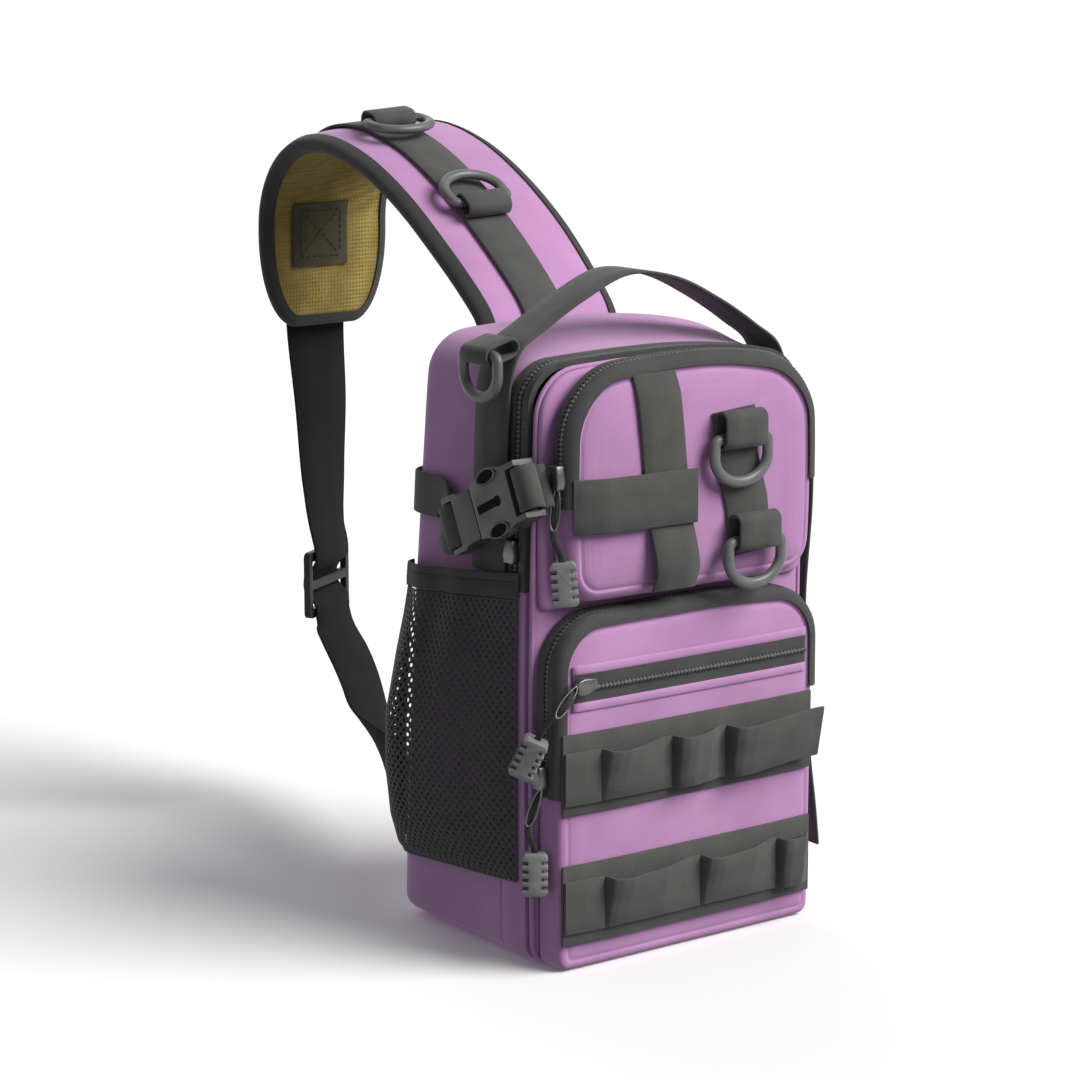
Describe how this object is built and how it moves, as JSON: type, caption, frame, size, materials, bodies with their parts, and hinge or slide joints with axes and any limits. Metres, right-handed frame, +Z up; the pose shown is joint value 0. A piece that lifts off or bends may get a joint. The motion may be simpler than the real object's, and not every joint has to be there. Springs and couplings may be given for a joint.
{
  "type": "chest bag",
  "caption": "Soft upright chest bag with two zipped front pockets, webbing ladders, a mesh side pocket, D-rings and a padded shoulder strap on a sling.",
  "frame": {"origin": "underside of the shoulder pad at its crest, where it sits on the wearer's shoulder", "axes": "+Z up, -Y out of the bag's front, +X to the right of someone facing the front"},
  "size_m": [0.2074, 0.3444, 0.3827],
  "materials": {
    "purple_cloth": "woven, matt",
    "zip_tape": "woven tape with coil",
    "grey_webbing": "ribbed webbing",
    "black_webbing": "ribbed webbing",
    "net": "open net",
    "binding": "woven tape",
    "lining": "spacer mesh",
    "ring_plastic": "satin moulded",
    "buckle_plastic": "satin moulded",
    "zip_metal": "satin",
    "pull_cord": "braided",
    "grip_rubber": "matt"
  },
  "bodies": {
    "bag": {"main_shell": "purple_cloth", "main_zipper": "zip_tape", "lower_gusset": "purple_cloth", "front_section": "purple_cloth", "upper_pocket": "purple_cloth", "upper_zipper": "zip_tape", "lower_pocket": "purple_cloth", "lower_zipper": "zip_tape", "slash_zipper": "zip_tape", "ladder_base_high": "grey_webbing", "ladder_loops_high": "grey_webbing", "ladder_base_low": "grey_webbing", "ladder_loops_low": "grey_webbing", "drop_web": "grey_webbing", "cross_web": "grey_webbing", "ring_web": "grey_webbing", "carry_web": "grey_webbing", "side_ring_tab": "grey_webbing", "mesh_pocket": "net", "mesh_hem": "binding", "buckle_socket": "buckle_plastic", "buckle_plug": "buckle_plastic", "side_strap_rear": "grey_webbing", "side_strap_front": "grey_webbing", "right_strap": "grey_webbing", "right_tail": "grey_webbing", "shoulder_pad": "purple_cloth", "pad_lining": "lining", "pad_binding": "binding", "pad_web": "grey_webbing", "pad_patch": "grey_webbing", "sling_web": "black_webbing", "strap_slider": "buckle_plastic", "strap_tab": "purple_cloth", "upper_zip_slider": "zip_metal", "upper_pull_cord": "pull_cord", "upper_pull_grip": "grip_rubber", "slash_zip_slider": "zip_metal", "slash_pull_cord": "pull_cord", "slash_pull_grip": "grip_rubber", "lower_zip_slider": "zip_metal", "lower_pull_cord": "pull_cord", "lower_pull_grip": "grip_rubber", "main_zip_slider": "zip_metal"},
    "front_ring_high": {"front_ring_high": "ring_plastic"},
    "front_ring_low": {"front_ring_low": "ring_plastic"},
    "side_ring": {"side_ring": "ring_plastic"},
    "pad_ring_front": {"pad_ring_front": "ring_plastic"},
    "pad_ring_crest": {"pad_ring_crest": "ring_plastic"}
  },
  "joints": [
    {"name": "front_ring_high_swing", "type": "hinge", "parent": "bag", "child": "front_ring_high", "pos_m": [0.0195, -0.27255, -0.11993], "axis": [-1, 0, 0], "range_deg": [0, 150]},
    {"name": "front_ring_low_swing", "type": "hinge", "parent": "bag", "child": "front_ring_low", "pos_m": [0.0285, -0.27248, -0.16843], "axis": [-1, 0, 0], "range_deg": [0, 150]},
    {"name": "side_ring_swing", "type": "hinge", "parent": "bag", "child": "side_ring", "pos_m": [-0.09147, -0.2216, -0.07785], "axis": [0, 1, 0], "range_deg": [0, 110]},
    {"name": "pad_ring_front_swing", "type": "hinge", "parent": "bag", "child": "pad_ring_front", "pos_m": [-0.00273, -0.10045, -0.02132], "axis": [0.9976, -0.0399, 0.0573], "range_deg": [0, 150]},
    {"name": "pad_ring_crest_swing", "type": "hinge", "parent": "bag", "child": "pad_ring_crest", "pos_m": [-0.00273, -0.02259, 0.01413], "axis": [-0.9976, 0.0142, -0.0684], "range_deg": [0, 150]}
  ]
}
